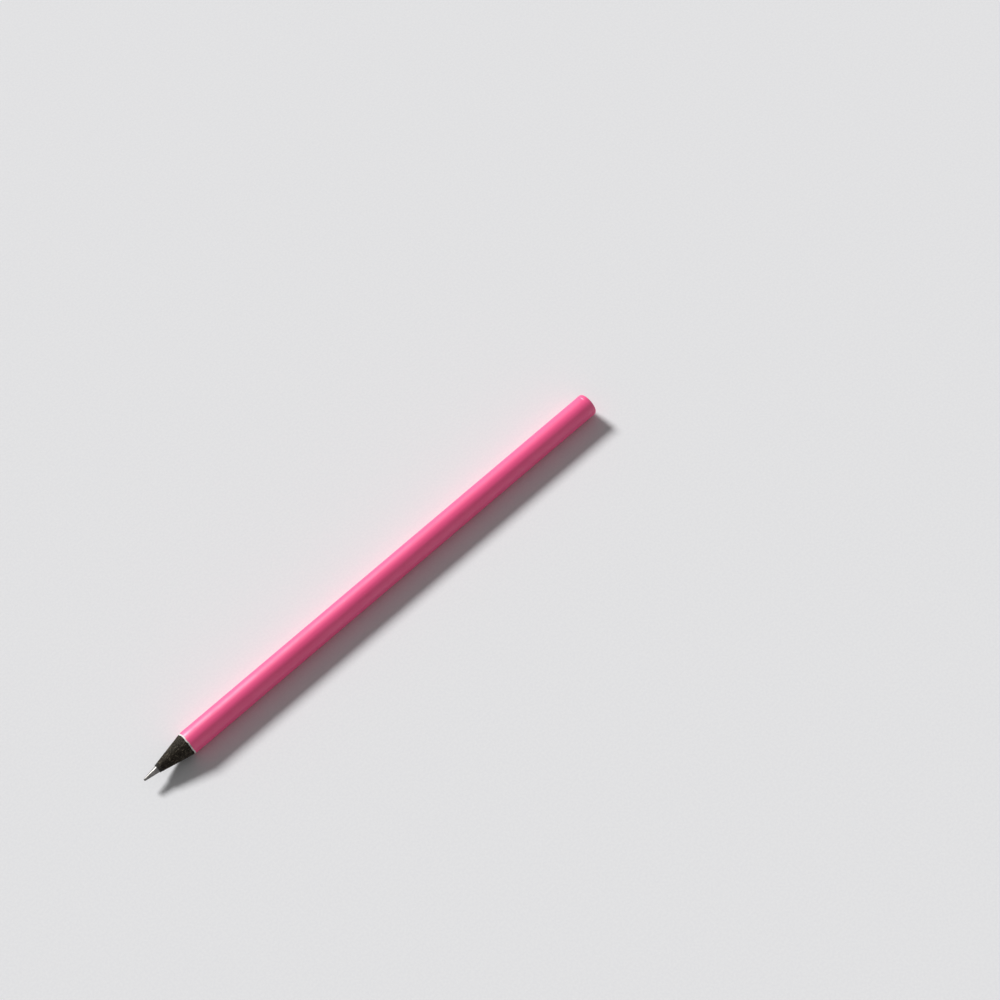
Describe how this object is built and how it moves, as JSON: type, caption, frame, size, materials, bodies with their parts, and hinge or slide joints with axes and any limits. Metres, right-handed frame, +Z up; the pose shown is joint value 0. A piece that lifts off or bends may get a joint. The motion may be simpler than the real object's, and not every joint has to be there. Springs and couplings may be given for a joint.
{
  "type": "wooden pencil",
  "caption": "Round wooden pencil lying on its side, with a cut point showing black wood and graphite, a pink lacquered barrel and a dipped tail.",
  "frame": {"origin": "on the surface that the pencil lies on, under the middle of its length", "axes": "+X from the point towards the dipped tail along the pencil's axis, +Z up"},
  "size_m": [0.176, 0.0074, 0.0075],
  "materials": {
    "graphite": "fired clay and graphite, dark grey with a silvery sheen on the cut point",
    "glue": "dried wood glue, stained dark by the dyed wood",
    "dyed_wood": "wood dyed near-black all through, cut bare and matt, with paler pores along the grain",
    "white_undercoat": "opaque white undercoat, seen only where the point is cut through it",
    "pink_lacquer": "bright pink lacquer in several coats, glossy with a slight ripple along the barrel",
    "dip_lacquer": "the same pink lacquer, dipped over the trimmed tail"
  },
  "bodies": {
    "root": {"graphite_core": "graphite", "glue_film": "glue", "upper_slat": "dyed_wood", "lower_slat": "dyed_wood", "undercoat": "white_undercoat", "colour_coat": "pink_lacquer", "end_dip": "dip_lacquer"}
  },
  "joints": []
}
